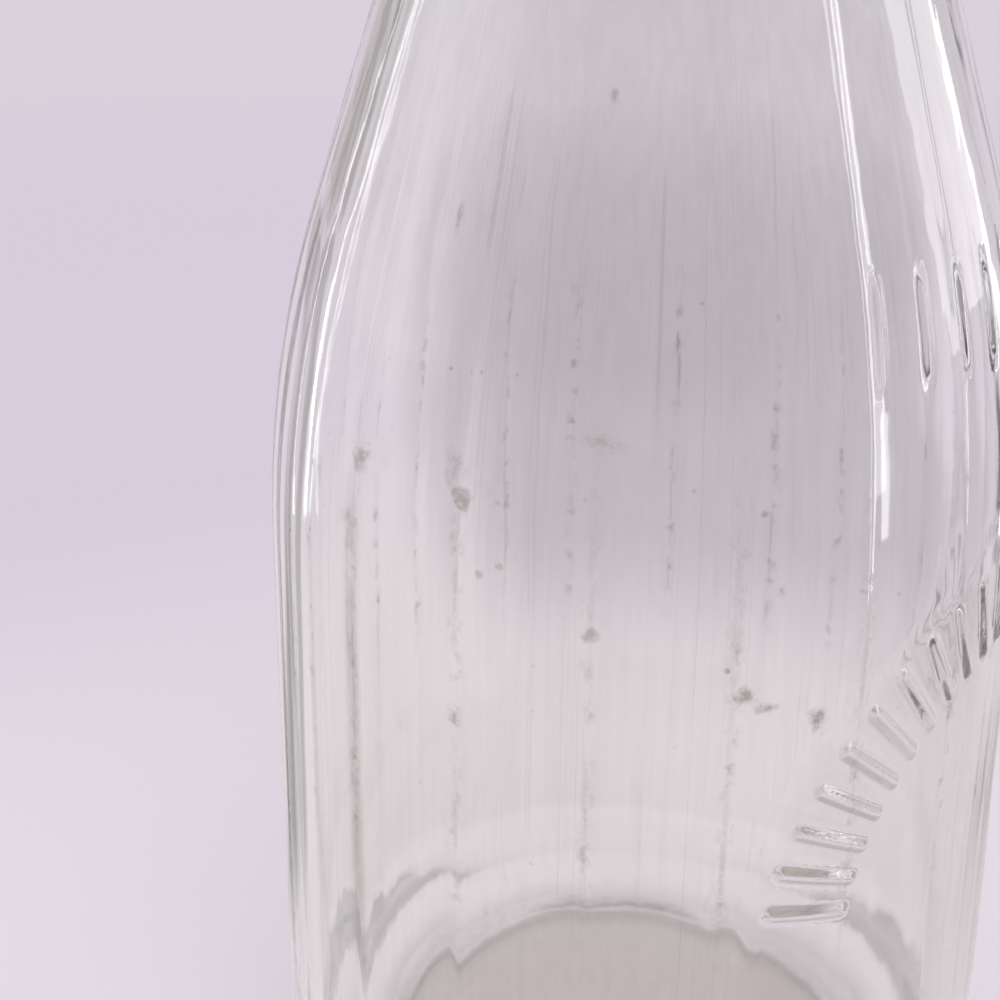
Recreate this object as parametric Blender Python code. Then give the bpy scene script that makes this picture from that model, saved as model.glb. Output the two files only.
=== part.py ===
"""Returnable half-litre milk bottle: soft-fluted clear glass with a cap-seat mouth,
closed by a two-ply waxed board cap that has a stapled lift tab.

Metres, +Z up. The origin is the middle of the base, on the surface that the bottle stands on.
The round plain panel of the glass faces +X, and the cap's tab opens away from +X.
"""

import bmesh
import bpy
from math import acos, ceil, cos, hypot, pi, radians, sin, tan
from mathutils import Matrix

# Glass: overall sizes
GLASS_HEIGHT = 0.1880
BODY_RADIUS = 0.0400
BODY_WALL = 0.0031
SHOULDER_START = 0.0730  # height where the straight body starts to draw in
NECK_LENGTH = 0.0138  # straight stretch between the shoulder and the mouth bead
SHOULDER_ARC_SHARE = 0.418  # of the shoulder's height, taken by its outward curve
NECK_ARC_SHARE = 0.165  # of the shoulder's height, taken by the inward curve under the neck

# Glass: mouth with a seat for a pressed-in disc
CAP_BORE_RADIUS = 0.0208
CAP_SEAT_DEPTH = 0.0060
CAP_SEAT_WIDTH = 0.0034
LIP_WALL = 0.0044
NECK_WALL = 0.0034
BEAD_HEIGHT = 0.0170  # from the lip down to where the bead meets the neck
BEAD_FLARE_HEIGHT = 0.0046
LIP_OUTER_ROUND = 0.0020
LIP_INNER_ROUND = 0.0010
SEAT_ROUND = 0.0005

# Glass: base
HEEL_RADIUS = 0.0060
BEARING_WIDTH = 0.0030  # flat ring that the bottle stands on
PUSH_UP = 0.0030  # how far the middle of the base is pushed in
BASE_THICKNESS = 0.0060
INNER_HEEL_RADIUS = 0.0115
FLOOR_CROWN = 0.0025  # how far the inner floor rises from its edge to its middle

# Glass: flutes and the round panel that interrupts them
FLUTE_COUNT = 20
FLUTE_DEPTH = 0.0002  # at the body, and in proportion where the shoulder is slimmer
FLUTE_FADE = 0.0080  # height over which the flutes start above the heel
PANEL_RADIUS = 0.0365  # measured along the surface
PANEL_HEIGHT = 0.0440  # of its middle, above the base
PANEL_FADE = 0.0030

# Cap: two plies of waxed board, with a lift tab cut in the upper one
CAP_CLEARANCE = 0.0003  # round the cap, under it, and between its plies
SEALING_PLY_THICKNESS = 0.0007
TOP_PLY_THICKNESS = 0.0005
TAB_WIDTH = 0.0130
TAB_LENGTH = 0.0230
TAB_FOLD_OFFSET = 0.0085  # from the cap's middle to the fold that the tab turns on
TAB_CUT = 0.0003  # width of the cut round the tab

# Cap: wire staple behind the fold
STAPLE_SPAN = 0.0080  # between the middles of its legs
STAPLE_OFFSET = 0.0035  # from the fold to the wire
STAPLE_WIRE_RADIUS = 0.00030
STAPLE_BEND_RADIUS = 0.00055
STAPLE_CLINCH = 0.0026  # length of each bent-over end
STAPLE_CLEARANCE = 0.0003

# Fineness
SIDES_PER_FLUTE = 3
BODY_STEPS = 13
PUSH_UP_STEPS = 6
OUTER_SHOULDER_STEPS = 7
INNER_SHOULDER_STEPS = 6
FLARE_STEPS = 6
INNER_BODY_STEPS = 4
FLOOR_STEPS = 4
TAB_END_STEPS = 12
DISC_SIDES = 72
HOLE_SIDES = 12
BEND_STEPS = 3
SLOPE_HALVINGS = 60  # each one halves the error of the shoulder's lean
ROUND_STEP = radians(22.5)  # turn per step on small rounds
CREASE_ANGLE = radians(35)  # edges sharper than this are shaded as creases
CUT_OVERRUN = 0.0010  # how far a cutter runs past what it cuts

# Heights and radii that follow
LIP_RADIUS = CAP_BORE_RADIUS + LIP_WALL
THROAT_RADIUS = CAP_BORE_RADIUS - CAP_SEAT_WIDTH
NECK_RADIUS = THROAT_RADIUS + NECK_WALL
BEAD_BOTTOM = GLASS_HEIGHT - BEAD_HEIGHT
SHOULDER_END = BEAD_BOTTOM - NECK_LENGTH
SEAT_HEIGHT = GLASS_HEIGHT - CAP_SEAT_DEPTH
SEALING_PLY_BOTTOM = SEAT_HEIGHT + CAP_CLEARANCE
SEALING_PLY_TOP = SEALING_PLY_BOTTOM + SEALING_PLY_THICKNESS
TOP_PLY_BOTTOM = SEALING_PLY_TOP + CAP_CLEARANCE
TOP_PLY_TOP = TOP_PLY_BOTTOM + TOP_PLY_THICKNESS
CAP_RADIUS = CAP_BORE_RADIUS - CAP_CLEARANCE


def clear_scene():
    """Remove every object, so that the model stands alone."""
    for old in list(bpy.data.objects):
        bpy.data.objects.remove(old, do_unlink=True)


def make_material(name, colour, roughness, metallic=0.0, transmission=0.0):
    """A Principled material, with a viewport colour to match."""
    material = bpy.data.materials.new(name)
    material.use_nodes = True
    surface = material.node_tree.nodes["Principled BSDF"]
    surface.inputs["Base Color"].default_value = (*colour, 1.0)
    surface.inputs["Roughness"].default_value = roughness
    surface.inputs["Metallic"].default_value = metallic
    surface.inputs["Transmission Weight"].default_value = transmission
    material.diffuse_color = (*colour, 1.0)
    return material


def add_object(name, mesh, material, parent=None, location=(0.0, 0.0, 0.0)):
    """Put a mesh in the scene under its node's name."""
    thing = bpy.data.objects.new(name, mesh)
    bpy.context.collection.objects.link(thing)
    mesh.materials.append(material)
    thing.parent = parent
    thing.location = location
    return thing


def add_empty(name, location, parent=None):
    """A joint's origin, which carries the pieces that move on it."""
    empty = bpy.data.objects.new(name, None)
    bpy.context.collection.objects.link(empty)
    empty.parent = parent
    empty.location = location
    return empty


def mesh_from(bm, name):
    """Finish a bmesh as a smooth-shaded mesh with sharp creases kept."""
    bmesh.ops.recalc_face_normals(bm, faces=bm.faces)
    mesh = bpy.data.meshes.new(name)
    bm.to_mesh(mesh)
    bm.free()
    mesh.shade_smooth()
    mesh.set_sharp_from_angle(angle=CREASE_ANGLE)
    return mesh


def arc(centre, radius, start, end, step=ROUND_STEP):
    """Points on an arc in the (radius, height) plane, both ends included."""
    count = max(1, ceil(abs(end - start) / step))
    angles = [start + (end - start) * i / count for i in range(count + 1)]
    return [(centre[0] + radius * cos(a), centre[1] + radius * sin(a)) for a in angles]


def straight(start, end, count):
    """Points between two others, with neither end."""
    shares = [i / count for i in range(1, count)]
    return [(start[0] + (end[0] - start[0]) * s, start[1] + (end[1] - start[1]) * s) for s in shares]


def shoulder_slope(drop, height):
    """Lean of the shoulder's straight stretch, for the radius it loses over its height."""
    curved = (SHOULDER_ARC_SHARE + NECK_ARC_SHARE) * height
    flat = height - curved
    low, high = 0.0, pi / 2
    for _ in range(SLOPE_HALVINGS):
        middle = (low + high) / 2
        if curved * tan(middle / 2) + flat * tan(middle) < drop:
            low = middle
        else:
            high = middle
    return low


def shoulder(low_radius, high_radius, steps):
    """The S-curve from the body to the neck: an outward arc, a straight lean, an inward arc."""
    height = SHOULDER_END - SHOULDER_START
    lean = shoulder_slope(low_radius - high_radius, height)
    outward = SHOULDER_ARC_SHARE * height / sin(lean)
    inward = NECK_ARC_SHARE * height / sin(lean)
    first = arc((low_radius - outward, SHOULDER_START), outward, 0.0, lean, lean / steps)
    last = arc((high_radius + inward, SHOULDER_END), inward, pi + lean, pi, lean / ceil(steps / 2))
    return first + straight(first[-1], last[0], steps // 2) + last


def push_up_line():
    """The pushed-in base from its middle out to the flat bearing ring."""
    ring_inner = BODY_RADIUS - HEEL_RADIUS - BEARING_WIDTH
    dome_radius = (ring_inner**2 + PUSH_UP**2) / (2 * PUSH_UP)
    spread = acos(1 - PUSH_UP / dome_radius)
    middle = (0.0, PUSH_UP - dome_radius)
    return arc(middle, dome_radius, pi / 2, pi / 2 - spread, spread / PUSH_UP_STEPS)


def outer_line():
    """Outside of the glass, from the middle of the base up to the lip."""
    heel_centre = (BODY_RADIUS - HEEL_RADIUS, HEEL_RADIUS)
    heel = arc(heel_centre, HEEL_RADIUS, -pi / 2, 0.0)
    body_top = (BODY_RADIUS, SHOULDER_START)
    body = straight(heel[-1], body_top, BODY_STEPS)
    body_to_neck = shoulder(BODY_RADIUS, NECK_RADIUS, OUTER_SHOULDER_STEPS)
    round_centre = (LIP_RADIUS - LIP_OUTER_ROUND, GLASS_HEIGHT - LIP_OUTER_ROUND)
    lip = arc(round_centre, LIP_OUTER_ROUND, 0.0, pi / 2)
    return push_up_line() + heel + body + body_to_neck + bead_flare() + lip


def bead_flare():
    """The underside of the mouth bead, a smooth S from the neck out to the bead."""
    swell = LIP_RADIUS - NECK_RADIUS
    points = []
    for i in range(FLARE_STEPS + 1):
        share = i / FLARE_STEPS
        reach = NECK_RADIUS + swell * (1 - cos(pi * share)) / 2
        points.append((reach, BEAD_BOTTOM + BEAD_FLARE_HEIGHT * share))
    return points


def inner_line():
    """Inside of the glass, from the lip down to the middle of the floor."""
    lip_centre = (CAP_BORE_RADIUS + LIP_INNER_ROUND, GLASS_HEIGHT - LIP_INNER_ROUND)
    lip = arc(lip_centre, LIP_INNER_ROUND, pi / 2, pi)
    corner = [(CAP_BORE_RADIUS, SEAT_HEIGHT)]
    edge = arc((THROAT_RADIUS + SEAT_ROUND, SEAT_HEIGHT - SEAT_ROUND), SEAT_ROUND, pi / 2, pi, pi / 4)
    inside = BODY_RADIUS - BODY_WALL
    wall = list(reversed(shoulder(inside, THROAT_RADIUS, INNER_SHOULDER_STEPS)))
    floor_edge = PUSH_UP + BASE_THICKNESS - FLOOR_CROWN
    heel_centre = (inside - INNER_HEEL_RADIUS, floor_edge + INNER_HEEL_RADIUS)
    heel = arc(heel_centre, INNER_HEEL_RADIUS, 0.0, -pi / 2)
    body = straight(wall[-1], heel[0], INNER_BODY_STEPS)
    floor_radius = (heel_centre[0] ** 2 + FLOOR_CROWN**2) / (2 * FLOOR_CROWN)
    spread = acos(1 - FLOOR_CROWN / floor_radius)
    top = floor_edge + FLOOR_CROWN
    floor = arc((0.0, top - floor_radius), floor_radius, pi / 2 - spread, pi / 2, spread / FLOOR_STEPS)
    return lip + corner + edge + wall + body + heel + floor[1:]


def smooth_share(value, start, end):
    """0 before start, 1 past end, with an easy slope between."""
    share = min(max((value - start) / (end - start), 0.0), 1.0)
    return share * share * (3 - 2 * share)


def flute_cut(angle, radius, height):
    """How far the outside lies under its round size: soft facets with arrises between them."""
    along = (angle * FLUTE_COUNT / (2 * pi)) % 1.0 * 2 - 1
    facet = 1 - along * along
    rise = smooth_share(height, HEEL_RADIUS, HEEL_RADIUS + FLUTE_FADE)
    fall = 1 - smooth_share(height, (SHOULDER_START + SHOULDER_END) / 2, SHOULDER_END)
    from_panel = (angle + pi) % (2 * pi) - pi
    reach = hypot(from_panel * BODY_RADIUS, height - PANEL_HEIGHT)
    outside_panel = smooth_share(reach, PANEL_RADIUS - PANEL_FADE, PANEL_RADIUS)
    return FLUTE_DEPTH * radius / BODY_RADIUS * facet * rise * fall * outside_panel


def turned_ring(bm, point, sides, fluted):
    """One ring of vertices of the turned glass."""
    radius, height = point
    ring = []
    for i in range(sides):
        angle = i * 2 * pi / sides
        reach = radius - (flute_cut(angle, radius, height) if fluted else 0.0)
        ring.append(bm.verts.new((reach * cos(angle), reach * sin(angle), height)))
    return ring


def build_glass(material):
    """The bottle itself, one wall of glass lofted through its outer and inner lines."""
    bm = bmesh.new()
    sides = FLUTE_COUNT * SIDES_PER_FLUTE
    outside = outer_line()
    inside = inner_line()
    rings = []
    for number, point in enumerate(outside[1:] + inside[:-1]):
        rings.append(turned_ring(bm, point, sides, number < len(outside) - 1))
    for low, high in zip(rings, rings[1:]):
        for i in range(sides):
            j = (i + 1) % sides
            bm.faces.new((low[i], low[j], high[j], high[i]))
    for ring, middle in ((rings[0], outside[0]), (rings[-1], inside[-1])):
        pole = bm.verts.new((0.0, 0.0, middle[1]))
        for i in range(sides):
            bm.faces.new((ring[i], ring[(i + 1) % sides], pole))
    return add_object("glass_bottle", mesh_from(bm, "glass_bottle"), material)


def disc_mesh(name, radius, thickness, sides=DISC_SIDES):
    """A flat disc that stands on its own origin."""
    bm = bmesh.new()
    lift = Matrix.Translation((0.0, 0.0, thickness / 2))
    bmesh.ops.create_cone(
        bm, cap_ends=True, segments=sides, radius1=radius, radius2=radius, depth=thickness, matrix=lift
    )
    return mesh_from(bm, name)


def tab_outline(margin):
    """Outline of the lift tab seen from above, from its fold to its round end, grown by a margin."""
    half = TAB_WIDTH / 2
    reach = half + margin
    middle = TAB_LENGTH - half
    bow = [-pi / 2 + pi * i / TAB_END_STEPS for i in range(TAB_END_STEPS + 1)]
    bend = [(-middle - reach * cos(a), reach * sin(a)) for a in bow]
    return [(margin, -reach)] + bend + [(margin, reach)]


def prism_mesh(name, outline, low, high):
    """A flat outline carried from one height to another."""
    bm = bmesh.new()
    face = bm.faces.new([bm.verts.new((x, y, low)) for x, y in outline])
    carried = bmesh.ops.extrude_face_region(bm, geom=[face])
    tops = [v for v in carried["geom"] if isinstance(v, bmesh.types.BMVert)]
    bmesh.ops.translate(bm, verts=tops, vec=(0.0, 0.0, high - low))
    return mesh_from(bm, name)


def add_cutter(name, mesh, material, parent, location):
    """A shape that only takes material away from others."""
    cutter = add_object(name, mesh, material, parent, location)
    cutter.hide_render = True
    cutter.display_type = "WIRE"
    return cutter


def cut(target, cutter):
    """Take the cutter's shape out of the target."""
    boolean = target.modifiers.new(cutter.name, "BOOLEAN")
    boolean.operation = "DIFFERENCE"
    boolean.solver = "EXACT"
    boolean.object = cutter


def staple_path():
    """Middle line of the bent wire, from one clinched end over the crown to the other."""
    rise = TOP_PLY_TOP + STAPLE_CLEARANCE + STAPLE_WIRE_RADIUS
    sink = SEALING_PLY_BOTTOM - STAPLE_CLEARANCE - STAPLE_WIRE_RADIUS
    half = STAPLE_SPAN / 2
    inset = STAPLE_BEND_RADIUS
    leg = []
    for centre, start in (((half - inset, sink + inset), -pi / 2), ((half - inset, rise - inset), 0.0)):
        for i in range(BEND_STEPS + 1):
            turn = start + pi / 2 * i / BEND_STEPS
            leg.append((centre[0] + inset * cos(turn), centre[1] + inset * sin(turn)))
    one_side = [(half - STAPLE_CLINCH, sink)] + leg
    other_side = [(-across, height) for across, height in reversed(one_side)]
    return one_side + other_side


def build_staple(material, parent, offset):
    """The wire staple that ties the plies together behind the fold."""
    wire = bpy.data.curves.new("tab_staple", "CURVE")
    wire.dimensions = "3D"
    wire.bevel_depth = STAPLE_WIRE_RADIUS
    wire.bevel_resolution = 2
    wire.use_fill_caps = True
    points = staple_path()
    spline = wire.splines.new("POLY")
    spline.points.add(len(points) - 1)
    for spot, (across, height) in zip(spline.points, points):
        spot.co = (offset, across, height - SEALING_PLY_BOTTOM, 1.0)
    return add_object("tab_staple", wire, material, parent)


def build_cap(board, steel):
    """Both plies, the tab and the staple, on the joint that lifts them out of the mouth."""
    lift = add_empty("cap_lift", (0.0, 0.0, SEALING_PLY_BOTTOM))
    top_height = TOP_PLY_BOTTOM - SEALING_PLY_BOTTOM
    sealing = add_object(
        "sealing_ply", disc_mesh("sealing_ply", CAP_RADIUS, SEALING_PLY_THICKNESS), board, lift
    )
    top = add_object(
        "top_ply", disc_mesh("top_ply", CAP_RADIUS, TOP_PLY_THICKNESS), board, lift, (0.0, 0.0, top_height)
    )

    slot_mesh = prism_mesh("tab_slot", tab_outline(TAB_CUT), -CUT_OVERRUN, TOP_PLY_THICKNESS + CUT_OVERRUN)
    fold = (TAB_FOLD_OFFSET, 0.0, top_height)
    slot = add_cutter("tab_slot", slot_mesh, board, lift, fold)
    cut(top, slot)

    staple_offset = TAB_FOLD_OFFSET + STAPLE_OFFSET
    hole_radius = STAPLE_WIRE_RADIUS + STAPLE_CLEARANCE
    hole_length = TOP_PLY_TOP - SEALING_PLY_BOTTOM + 2 * CUT_OVERRUN
    for side, sign in (("left", -1), ("right", 1)):
        place = (staple_offset, sign * STAPLE_SPAN / 2, -CUT_OVERRUN)
        mesh = disc_mesh(f"staple_hole_{side}", hole_radius, hole_length, HOLE_SIDES)
        hole = add_cutter(f"staple_hole_{side}", mesh, board, lift, place)
        cut(sealing, hole)
        cut(top, hole)

    build_staple(steel, lift, staple_offset)

    hinge = add_empty("tab_fold", (TAB_FOLD_OFFSET, 0.0, TOP_PLY_TOP - SEALING_PLY_BOTTOM), lift)
    tab = prism_mesh("pull_tab", tab_outline(0.0), -TOP_PLY_THICKNESS, 0.0)
    add_object("pull_tab", tab, board, hinge)


def main():
    clear_scene()
    glass = make_material("clear_glass", (0.93, 0.95, 0.94), 0.04, transmission=1.0)
    board = make_material("waxed_board", (0.86, 0.83, 0.74), 0.45)
    steel = make_material("staple_wire", (0.62, 0.62, 0.60), 0.30, metallic=1.0)
    build_glass(glass)
    build_cap(board, steel)
    bpy.context.view_layer.update()


main()
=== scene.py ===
"""Looks of the milk bottle: worn clear glass, a waxed board cap with a stapled tab, soft light.

Metres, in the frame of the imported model: +Z up, +X towards the glass's round panel.
"""

from math import acos, ceil, cos, hypot, pi, radians, sin, tan

import bmesh
import bpy
import numpy as np
from mathutils import Matrix, Vector


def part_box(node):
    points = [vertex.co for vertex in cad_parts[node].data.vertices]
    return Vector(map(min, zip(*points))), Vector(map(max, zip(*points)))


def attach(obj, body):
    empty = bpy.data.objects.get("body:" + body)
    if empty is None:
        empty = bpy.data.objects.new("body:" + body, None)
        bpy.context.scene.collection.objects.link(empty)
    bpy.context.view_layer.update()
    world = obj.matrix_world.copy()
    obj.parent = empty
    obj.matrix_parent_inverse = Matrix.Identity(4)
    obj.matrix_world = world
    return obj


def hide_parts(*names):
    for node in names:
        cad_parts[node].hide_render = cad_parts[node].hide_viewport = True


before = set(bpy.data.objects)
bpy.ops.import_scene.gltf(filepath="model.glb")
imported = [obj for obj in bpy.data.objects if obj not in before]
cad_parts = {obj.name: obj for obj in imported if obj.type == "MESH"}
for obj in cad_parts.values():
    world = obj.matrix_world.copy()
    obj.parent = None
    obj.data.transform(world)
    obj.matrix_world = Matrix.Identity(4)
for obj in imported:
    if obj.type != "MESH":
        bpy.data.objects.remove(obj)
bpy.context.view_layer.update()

# Sizes of the glass, as the frame has them
GLASS_LOW, GLASS_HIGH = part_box("glass_bottle")
GLASS_HEIGHT = GLASS_HIGH.z
BODY_RADIUS = GLASS_HIGH.x
BODY_WALL = 0.0031
SHOULDER_START = 0.0730
NECK_LENGTH = 0.0138
SHOULDER_ARC_SHARE = 0.418
NECK_ARC_SHARE = 0.165
CAP_BORE_RADIUS = 0.0208
CAP_SEAT_DEPTH = 0.0060
CAP_SEAT_WIDTH = 0.0034
LIP_WALL = 0.0044
NECK_WALL = 0.0034
BEAD_HEIGHT = 0.0170
BEAD_FLARE_HEIGHT = 0.0046
LIP_OUTER_ROUND = 0.0020
LIP_INNER_ROUND = 0.0010
SEAT_ROUND = 0.0005
HEEL_RADIUS = 0.0060
BEARING_WIDTH = 0.0030
PUSH_UP = 0.0030
BASE_THICKNESS = 0.0060
INNER_HEEL_RADIUS = 0.0115
FLOOR_CROWN = 0.0025

# Flutes and the round panel
FLUTE_COUNT = 20
FLUTE_DEPTH = 0.0002
FLUTE_FADE = 0.0080
ARRIS_SOFTNESS = 0.09  # of half a flute's width
PANEL_RADIUS = 0.0365
PANEL_HEIGHT = 0.0440
PANEL_FADE = 0.0030
PANEL_SINK = 0.0005  # of the panel's middle, so that its raised work stays inside the body's size
SINK_SIDES = (0.0060, 0.0340)  # where it starts and ends to run out beside the middle line
SINK_BELOW = (0.0200, 0.0620)
SINK_ABOVE = (0.0820, 0.1150)

# Raised work: half a ring of plain bars on the panel and a row of upright bars on the shoulder
RING_BARS = 48  # to a full turn
RING_END = radians(3.75)  # over the panel's level middle line
RING_INNER_RADIUS = 0.0246
RING_OUTER_RADIUS = 0.0340
ROW_BARS = 9
ROW_PITCH = radians(8.5)
ROW_LOW = 0.0965
ROW_HIGH = 0.1060
BAR_WIDTH = 0.0018
BAR_FLANK = 0.0008
BAR_RELIEF = 0.0004

# Mesh of the glass
SPACINGS = (0.00028, 0.00034, 0.0010)  # around the front, up the front, and up elsewhere
INNER_SKIP = 2  # columns outside for each one inside
BESIDE_ARRIS = (0.0, 0.05, 0.12, 0.25, 0.5, 0.75)  # columns, in shares of half a flute

# Cap, as the frame has it
CAP_RADIUS = 0.0205
SEALING_PLY = (0.1823, 0.1830)  # its lower and upper face
TOP_PLY = (0.1833, 0.1838)
TAB_WIDTH = 0.0130
TAB_LENGTH = 0.0230
TAB_FOLD_OFFSET = 0.0085
TAB_CUT = 0.00025
FOLD_CUT = 0.00006
BOARD_ROUND = 0.0001
STAPLE_SPAN = 0.0080
STAPLE_OFFSET = 0.0120
STAPLE_WIRE_RADIUS = 0.0003
STAPLE_BEND_RADIUS = 0.00055
STAPLE_CLINCH = 0.0026
STAPLE_CLEARANCE = 0.0003
CIRCLE_STEPS = 160
TAB_END_STEPS = 48
DARK_BOARD = (0.80, 0.75, 0.63, 1)
PALE_BOARD = (0.87, 0.835, 0.735, 1)
BOARD_FLECK = (0.55, 0.47, 0.35, 1)
BOARD_ROUGHNESS = (0.34, 0.52)
BOARD_BUMP = 0.00004
BRIGHT_WIRE = (0.66, 0.66, 0.64, 1)
DULL_WIRE = (0.52, 0.51, 0.49, 1)
WIRE_ROUGHNESS = (0.22, 0.42)

# Camera, fitted to the outline and the arrises in the photograph
CAMERA_AZIMUTH = radians(23.8)
CAMERA_DISTANCE = 0.16616  # from the bottle's axis, level
CAMERA_HEIGHT = 0.1345
CAMERA_PITCH = radians(19.9)
CAMERA_YAW = radians(5.37)
CAMERA_ROLL = radians(0.5)
FOCAL_PIXELS = 1617.3
PICTURE_PIXELS = 1000
SENSOR_WIDTH = 36.0

# Looks of the glass
GLASS_INDEX = 1.52
CLEAR = (0.985, 0.985, 0.980, 1)
FILMED = (0.915, 0.915, 0.910, 1)
HAIRLINE = (0.76, 0.75, 0.73, 1)
DULLED = (0.86, 0.84, 0.835, 1)
# Dark line of the mould seam, and painted shade on the raised bars' flanks
SEAM_LINE_AND_FLANK_SHADE = (0.46, 0.42, 0.36, 1)
RUBBED = (0.36, 0.32, 0.28, 1)
ROUGHNESS = (0.04, 0.50)  # of clear and of rubbed glass
PANEL_ROUGHNESS = 0.03  # added to the others
TRANSMISSION = (0.985, 0.45)  # of clear and of rubbed glass
INNER_ROUGHNESS = (0.16, 0.045)  # at the floor and up the wall
INNER_ROUGHNESS_HEIGHTS = (0.008, 0.024)
BUMP = 0.00004
INNER_BUMP = 0.00018

# Wear of the glass, its belts from and to a height, each with the softness of its ends
WOBBLE = 0.0016  # of the edges of all wear
WORN_BELT = (0.046, 0.090, 0.007)
BLOT_SIDES = (0.0001, 0.0014)  # where they start and end to fade, beside an arris
ARRIS_LINE = 0.00045  # where it ends to fade
SPECKLED_BELT = (0.048, 0.098, 0.012)
SPECK_SCALE = 260.0
SPECK_CELLS = (0.80, 0.82)  # cells with a random number past these have a speck
SEAM = radians(-42.0)  # of the mould, right of the camera's side
SEAM_BELT = (0.035, 0.084, 0.004)
SEAM_SIDES = (0.0002, 0.0016)  # where it starts and ends to fade, beside its middle
DULL_EDGE = (-0.004, 0.001)  # of the panel, from its radius
MARKS = (  # degrees right of the camera's side, height, half width, half height, strength
    (-40.7, 0.0886, 0.0011, 0.0014, 0.8),
    (-24.8, 0.0899, 0.0007, 0.0014, 0.7),
    (-23.4, 0.0871, 0.0009, 0.0011, 0.9),
    (-24.1, 0.0833, 0.0006, 0.0010, 0.6),
    (-20.6, 0.0806, 0.0004, 0.0004, 0.7),
    (-18.0, 0.0816, 0.0004, 0.0003, 0.7),
    (-5.4, 0.0933, 0.0017, 0.0007, 0.8),
    (-6.0, 0.0888, 0.0005, 0.0008, 0.6),
    (-6.1, 0.0855, 0.0004, 0.0006, 0.6),
    (-5.6, 0.0766, 0.0007, 0.0006, 0.8),
    (-5.9, 0.0731, 0.0005, 0.0009, 0.5),
    (12.4, 0.0760, 0.0008, 0.0022, 0.5),
    (13.4, 0.0707, 0.0011, 0.0010, 1.0),
    (17.3, 0.0697, 0.0012, 0.0006, 0.9),
    (24.1, 0.0680, 0.0010, 0.0010, 1.0),
    (12.8, 0.0842, 0.0004, 0.0006, 0.6),
    (12.8, 0.0796, 0.0003, 0.0007, 0.5),
    (15.3, 0.0874, 0.0005, 0.0004, 0.9),
    (17.8, 0.0806, 0.0005, 0.0007, 0.8),
    (17.7, 0.0910, 0.0007, 0.0007, 0.4),
    (-6.9, 0.1207, 0.0005, 0.0007, 0.8),
    (-10.3, 0.1054, 0.0004, 0.0005, 0.6),
    (-3.5, 0.1056, 0.0004, 0.0005, 0.5),
    (-29.5, 0.1100, 0.0003, 0.0010, 0.8),
)

# Table, backdrop and plain light
BACKDROP = (0.728, 0.663, 0.742, 1)
MIDDLE_FLOOR = (0.690, 0.630, 0.728, 1)
# Painted light: the table is lighter near the bottle
NEAR_FLOOR_GLOW = (0.785, 0.730, 0.800, 1)
NEAR_FLOOR_GLOW_REACH = (0.08, 0.24)  # where it starts and ends to fade, from the bottle's axis
MIDDLE_FLOOR_REACH = (0.4, 1.6)
PAINTED_SHARE = 0.62  # of the floor's look that its own colour gives, the rest being lit
FAR_TABLE_SHARE = 0.948  # of the backdrop's colour that the far table shows, so the two meet unseen
FLOOR_RADIUS = 6.0
FLOOR_DROP = 0.0002
SOFT_LIGHT = (0.95, 0.94, 0.96, 1)
SOFT_LIGHT_STRENGTH = 0.92
KEY_AZIMUTH = radians(150)
KEY_DISTANCE = 1.0
KEY_HEIGHT = 1.0
KEY_SIZE = 0.7
KEY_POWER = 5.0
LIGHT_BOUNCES = 24

# Table that the glass alone shows, with painted light and painted shade: reaches from the bottle's
# axis, azimuths from straight behind it
# Painted shade under the bottle: a warm grey disc, darker at its rim under the heel
PAINTED_SHADE_UNDER_GLASS = (0.715, 0.635, 0.615, 1)
PAINTED_SHADE_UNDER_GLASS_REACH = (0.0240, 0.0290)
PAINTED_SHADE_UNDER_HEEL = (0.56, 0.50, 0.485, 1)
PAINTED_SHADE_UNDER_HEEL_REACH = (0.0290, 0.0330)
# Painted light: a pale halo round the heel and a glow on the table near the bottle
PAINTED_HEEL_GLOW = (0.92, 0.86, 0.89, 1)
PAINTED_HEEL_GLOW_REACH = (0.045, 0.065)
PAINTED_GLOW_FLOOR = (0.81, 0.76, 0.785, 1)
PAINTED_GLOW_REACH = (0.15, 0.30)
BRIGHT_FAR_FLOOR = (0.76, 0.70, 0.77, 1)
# Painted shade: the table behind the bottle is dimmer in the glass
DIM_FLOOR = (0.520, 0.478, 0.520, 1)
DIM_LEFT_END = (radians(-22), radians(-8))
DIM_RIGHT_END = (radians(27), radians(41))
DIM_NARROWER = (0.20, 0.35, 0.0, radians(14))  # the right end's turn, by reach
DIM_START = (0.08, 0.20)
DIM_FADE = (0.35, 1.5, 1.0, 0.35)
DARK_STREAK = (0.40, 0.38, 0.37, 1)
STREAK_SIDES = (radians(-61), radians(-48), radians(2.5))
STREAK_ENDS = (0.07, 2.5, 0.02)
STREAK_NEAR_BEND = (0.06, 0.13, radians(10), 0.0)  # its turn, by reach
STREAK_FAR_BEND = (0.5, 1.2, 0.0, radians(-14))

# Room that the glass alone shows: heights are of a direction one long
DARK_ROOM = (0.17, 0.16, 0.17, 1)
DARK_ROOM_START = (0.03, 0.24)
LEFT_WALL = (1.25, 1.2, 1.25, 1)
LEFT_WALL_SIDES = (radians(-122), radians(-72), radians(14))
LEFT_WALL_START = (-0.02, 0.10)
PALE_ROOM = (0.68, 0.64, 0.68, 1)  # for refracted light alone
PALE_ROOM_SIDES = (radians(-145), radians(145), radians(12))
DARK_POST = (0.38, 0.355, 0.34, 1)
DARK_POST_SIDES = (radians(-44), radians(-33), radians(2.5))
DARK_POST_END = (0.2, 0.4)

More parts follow.
